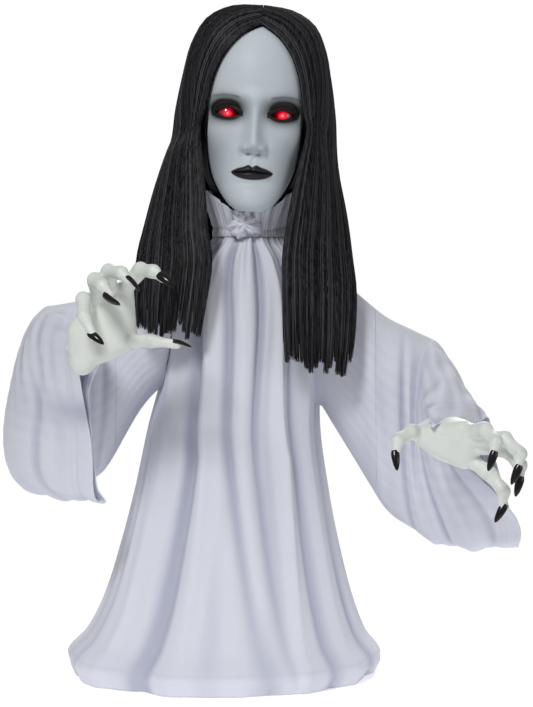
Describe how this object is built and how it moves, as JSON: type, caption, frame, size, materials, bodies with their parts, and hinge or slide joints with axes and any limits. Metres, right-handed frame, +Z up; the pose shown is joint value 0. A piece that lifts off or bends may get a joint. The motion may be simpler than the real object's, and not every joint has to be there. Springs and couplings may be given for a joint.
{
  "type": "animated ghoul figure",
  "caption": "Standing long-haired ghoul in a hanging gown, with a motor-turned head, lit red eyes and posable clawed arms on a pole stand.",
  "frame": {"origin": "centre of the stand's underside, on the floor and on the pole's axis", "axes": "+Z up along the pole, the figure faces -Y, its left arm is on +X"},
  "size_m": [0.5893, 0.487, 0.7954],
  "materials": {
    "black_plastic": "moulded, fine texture",
    "grey_plastic": "moulded, satin",
    "white_plastic": "moulded, satin",
    "steel_tube": "drawn tube, satin",
    "painted_face": "cool grey-blue matt paint",
    "pale_vinyl": "soft moulded vinyl, satin",
    "red_lens": "clear red, lit from behind",
    "circuit_green": "circuit board",
    "cell_sleeve": "printed sleeve",
    "hair_fibre": "straight synthetic hair, glossy",
    "gown_cloth": "thin white polyester, slightly sheer"
  },
  "bodies": {
    "frame": {"base_plate": "black_plastic", "lower_pole": "steel_tube", "upper_pole": "steel_tube", "pole_socket": "grey_plastic", "chest_front_shell": "black_plastic", "chest_back_shell": "black_plastic", "shell_screw_1": "steel_tube", "shell_screw_2": "steel_tube", "shell_screw_3": "steel_tube", "shell_screw_4": "steel_tube", "neck_form": "painted_face", "gear_plate": "grey_plastic", "gearbox_housing": "grey_plastic", "motor_can": "steel_tube", "neck_lower_bush": "white_plastic", "neck_upper_bush": "white_plastic", "circuit_board": "circuit_green", "speaker": "grey_plastic", "battery_holder": "black_plastic", "battery_cell_1": "cell_sleeve", "battery_cell_2": "cell_sleeve", "battery_cell_3": "cell_sleeve", "switch_body": "grey_plastic", "shoulder_bar": "steel_tube", "shoulder_fork_left": "grey_plastic", "shoulder_fork_right": "grey_plastic", "shoulder_pin_left": "steel_tube", "shoulder_pin_right": "steel_tube", "gown_body": "gown_cloth", "collar_ruffle": "gown_cloth", "sleeve_left": "gown_cloth", "sleeve_right": "gown_cloth"},
    "head": {"neck_gear": "white_plastic", "neck_tube": "steel_tube", "head_socket": "grey_plastic", "face_shell": "painted_face", "head_back_shell": "black_plastic", "led_board": "circuit_green", "eye_led_left": "red_lens", "eye_led_right": "red_lens", "eye_lens_left": "red_lens", "eye_lens_right": "red_lens", "wig_cap": "hair_fibre", "hair_left": "hair_fibre", "hair_right": "hair_fibre", "hair_back": "hair_fibre"},
    "pinion": {"drive_pinion": "white_plastic"},
    "battery_cover": {"battery_cover": "black_plastic"},
    "switch_slider": {"switch_slider": "white_plastic"},
    "upper_arm_left": {"upper_arm_left": "white_plastic", "elbow_pin_left": "steel_tube"},
    "forearm_left": {"forearm_left": "white_plastic"},
    "hand_left": {"hand_left": "pale_vinyl"},
    "upper_arm_right": {"upper_arm_right": "white_plastic", "elbow_pin_right": "steel_tube"},
    "forearm_right": {"forearm_right": "white_plastic"},
    "hand_right": {"hand_right": "pale_vinyl"}
  },
  "joints": [
    {"name": "head_turn", "type": "hinge", "parent": "frame", "child": "head", "pos_m": [0, 0, 0.548], "axis": [0, 0, 1], "range_deg": [-30, 30], "deforming": ["hair_left", "hair_right", "hair_back", "collar_ruffle"]},
    {"name": "pinion_spin", "type": "hinge", "parent": "frame", "child": "pinion", "pos_m": [0.02544, 0.0159, 0.4743], "axis": [0, 0, 1], "range_deg": [-90, 90]},
    {"name": "battery_cover_slide", "type": "slide", "parent": "frame", "child": "battery_cover", "axis": [0, 0, -1], "range_m": [0, 0.03]},
    {"name": "power_switch", "type": "slide", "parent": "frame", "child": "switch_slider", "axis": [1, 0, 0], "range_m": [0, 0.006]},
    {"name": "left_shoulder", "type": "hinge", "parent": "frame", "child": "upper_arm_left", "pos_m": [0.085, 0, 0.455], "axis": [0, 1, 0], "range_deg": [-40, 25], "deforming": ["sleeve_left"]},
    {"name": "right_shoulder", "type": "hinge", "parent": "frame", "child": "upper_arm_right", "pos_m": [-0.085, 0, 0.455], "axis": [0, -1, 0], "range_deg": [-40, 25], "deforming": ["sleeve_right"]},
    {"name": "left_elbow", "type": "hinge", "parent": "upper_arm_left", "child": "forearm_left", "pos_m": [0.21645, 0, 0.37286], "axis": [-0.5111, 0.264, -0.818], "range_deg": [-35, 15], "deforming": ["sleeve_left"]},
    {"name": "right_elbow", "type": "hinge", "parent": "upper_arm_right", "child": "forearm_right", "pos_m": [-0.23472, 0, 0.41488], "axis": [-0.2501, -0.2578, 0.9333], "range_deg": [-35, 15], "deforming": ["sleeve_right"]},
    {"name": "left_wrist", "type": "hinge", "parent": "forearm_left", "child": "hand_left", "pos_m": [0.21315, -0.15759, 0.32407], "axis": [-0.02, -0.9551, -0.2957], "range_deg": [-35, 35]},
    {"name": "right_wrist", "type": "hinge", "parent": "forearm_right", "child": "hand_right", "pos_m": [-0.19393, -0.15658, 0.38255], "axis": [0.2472, -0.9489, -0.1959], "range_deg": [-35, 35]}
  ],
  "couplings": [
    {"joint": "pinion_spin", "follows": "head_turn", "ratio": -3}
  ]
}
